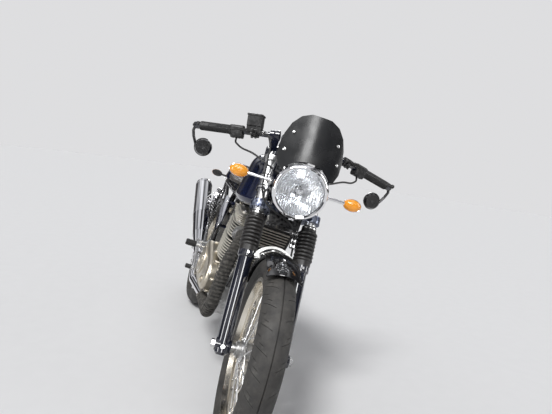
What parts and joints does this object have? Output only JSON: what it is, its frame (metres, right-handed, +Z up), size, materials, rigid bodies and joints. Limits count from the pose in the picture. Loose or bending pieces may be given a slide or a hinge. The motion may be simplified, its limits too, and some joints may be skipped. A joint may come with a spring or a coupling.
{
  "type": "motorcycle",
  "caption": "Cafe racer motorcycle with an air-cooled twin engine, clip-on bars, fly screen and rear shocks, parked leaning on its side stand with the front wheel turned a little.",
  "frame": {"origin": "centre of the bounding box's bottom, on the floor", "axes": "+Z up, front wheel towards -Y, the rider's left and the lean towards +X"},
  "size_m": [0.809, 2.0368, 1.0975],
  "materials": {
    "frame_paint": "gloss",
    "tank_paint": "gloss",
    "fork_paint": "gloss",
    "spring_paint": "satin",
    "satin_alloy": "satin",
    "polished_alloy": "polished",
    "cast_alloy": "cast",
    "yoke_metal": "satin",
    "bright_steel": "brushed",
    "chain_steel": "oiled",
    "cooler_metal": "satin",
    "chrome": "polished",
    "header_wrap": "woven",
    "black_plastic": "satin",
    "smoked_screen": "gloss",
    "gaiter_rubber": "matt",
    "grip_rubber": "matt",
    "tyre": "matt",
    "seat_leather": "satin",
    "clear_glass": "clear",
    "amber_lens": "gloss",
    "red_lens": "gloss"
  },
  "bodies": {
    "chassis": {"frame_spine": "frame_paint", "down_tubes": "frame_paint", "rear_frame": "frame_paint", "frame_plates": "satin_alloy", "swingarm": "frame_paint", "spindle_bolts": "bright_steel", "rear_shocks": "bright_steel", "shock_springs": "spring_paint", "crankcase": "cast_alloy", "engine_covers": "polished_alloy", "cylinder_block": "cast_alloy", "cylinder_head": "cast_alloy", "exhaust_wraps": "header_wrap", "silencers": "chrome", "intake": "black_plastic", "side_panels": "tank_paint", "oil_cooler": "cooler_metal", "fuel_tank": "tank_paint", "filler_cap": "polished_alloy", "seat_pad": "seat_leather", "seat_cowl": "tank_paint", "rear_mudguard": "black_plastic", "rear_lamps": "red_lens", "drive_chain": "chain_steel", "rearsets": "satin_alloy", "rear_caliper": "satin_alloy"},
    "side_stand": {"side_stand": "frame_paint"},
    "rear_wheel": {"rear_tyre": "tyre", "rear_rim": "polished_alloy", "rear_hub": "satin_alloy", "rear_disc": "bright_steel", "rear_sprocket": "chain_steel"},
    "steering": {"front_axle": "bright_steel", "fork_lowers": "fork_paint", "fork_stanchions": "chrome", "fork_gaiters": "gaiter_rubber", "lower_yoke": "yoke_metal", "upper_yoke": "satin_alloy", "front_mudguard": "black_plastic", "fork_brace": "polished_alloy", "headlamp_shell": "fork_paint", "headlamp_rim": "chrome", "headlamp_lens": "clear_glass", "lamp_brackets": "fork_paint", "indicator_stalks": "chrome", "indicator_lenses": "amber_lens", "clip_on_bars": "fork_paint", "grips": "grip_rubber", "bar_controls": "black_plastic", "bar_end_mirrors": "fork_paint", "instruments": "chrome", "fly_screen": "smoked_screen", "front_caliper": "satin_alloy", "control_cables": "grip_rubber", "brake_hoses": "grip_rubber"},
    "front_wheel": {"front_tyre": "tyre", "front_rim": "polished_alloy", "front_hub": "satin_alloy", "front_disc": "bright_steel"}
  },
  "joints": [
    {"name": "steering", "type": "hinge", "parent": "chassis", "child": "steering", "pos_m": [-0.16037, -0.67052, 0.30019], "axis": [0.2133, 0.4078, 0.8878], "range_deg": [-22.6, 37.4]},
    {"name": "front_wheel_spin", "type": "hinge", "parent": "steering", "child": "front_wheel", "pos_m": [-0.16143, -0.70131, 0.31459], "axis": [0.9765, -0.1179, -0.1804], "continuous": true},
    {"name": "rear_wheel_spin", "type": "hinge", "parent": "chassis", "child": "rear_wheel", "pos_m": [-0.15691, 0.69843, 0.31296], "axis": [0.9724, -0.0003, -0.2334], "continuous": true},
    {"name": "side_stand", "type": "hinge", "parent": "chassis", "child": "side_stand", "pos_m": [-0.04186, 0.1883, 0.20163], "axis": [0.8937, -0.1473, 0.4238], "range_deg": [0, 111.3]}
  ]
}
